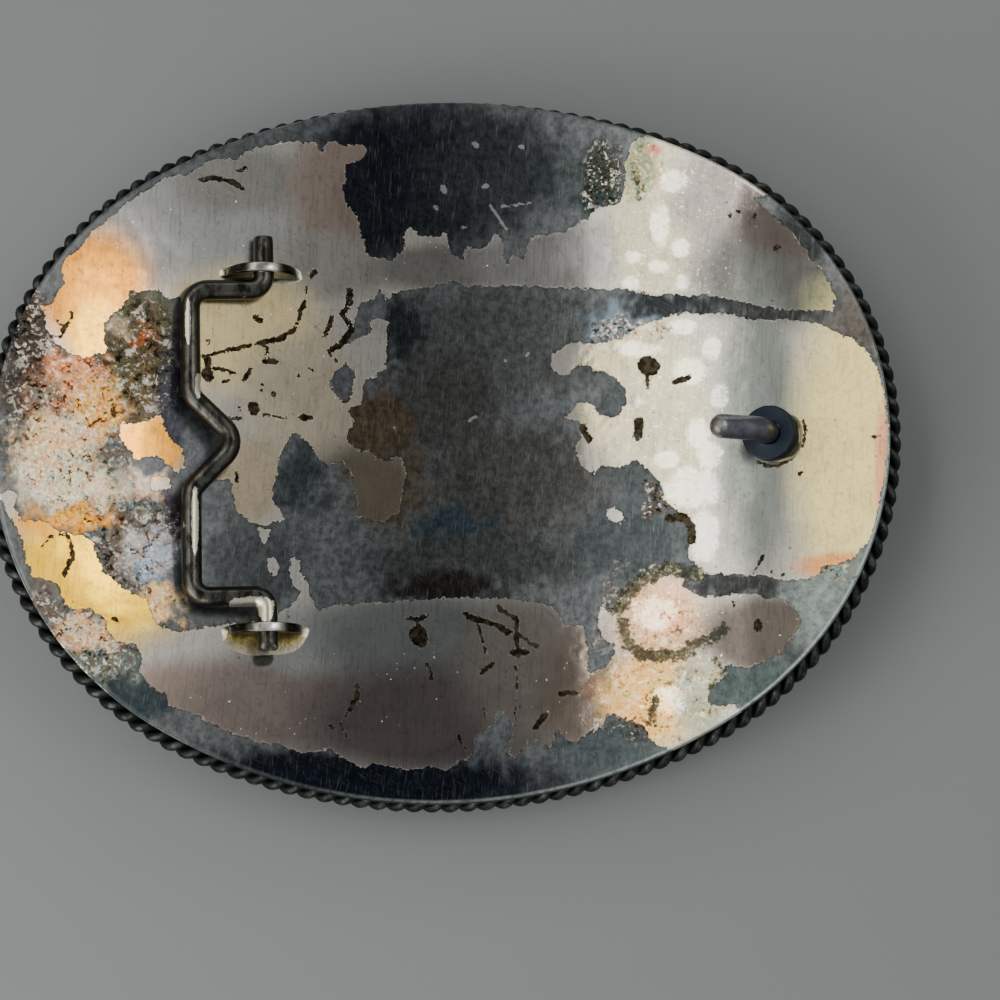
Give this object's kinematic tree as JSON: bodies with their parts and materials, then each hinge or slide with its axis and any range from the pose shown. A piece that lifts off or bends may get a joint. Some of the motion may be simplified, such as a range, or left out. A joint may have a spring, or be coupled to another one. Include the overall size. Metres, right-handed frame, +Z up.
{
  "type": "western belt buckle",
  "caption": "Oval domed trophy buckle seen from its hollow back, with a rope edge, a hinged wire bail for the belt and a leaning hook stud.",
  "frame": {"origin": "under the middle of the oval, on the surface that the domed front rests on", "axes": "+Z up, out of the hollow back; +X from the bail to the hook stud, along the belt; +Y across the belt"},
  "size_m": [0.1278, 0.103, 0.0189],
  "materials": {
    "plate": "silver plate, worn and blotched with dark tarnish",
    "rope_edge": "blackened twisted wire with bright worn crests",
    "bail": "smooth dark wire"
  },
  "bodies": {
    "buckle": {"plate": "plate", "rope_edge": "rope_edge"},
    "bail": {"bail": "bail"}
  },
  "joints": [
    {"name": "bail_hinge", "type": "hinge", "parent": "buckle", "child": "bail", "pos_m": [-0.02501, 0.0012, 0.00934], "axis": [0, 1, 0], "range_deg": [0, 199]}
  ]
}
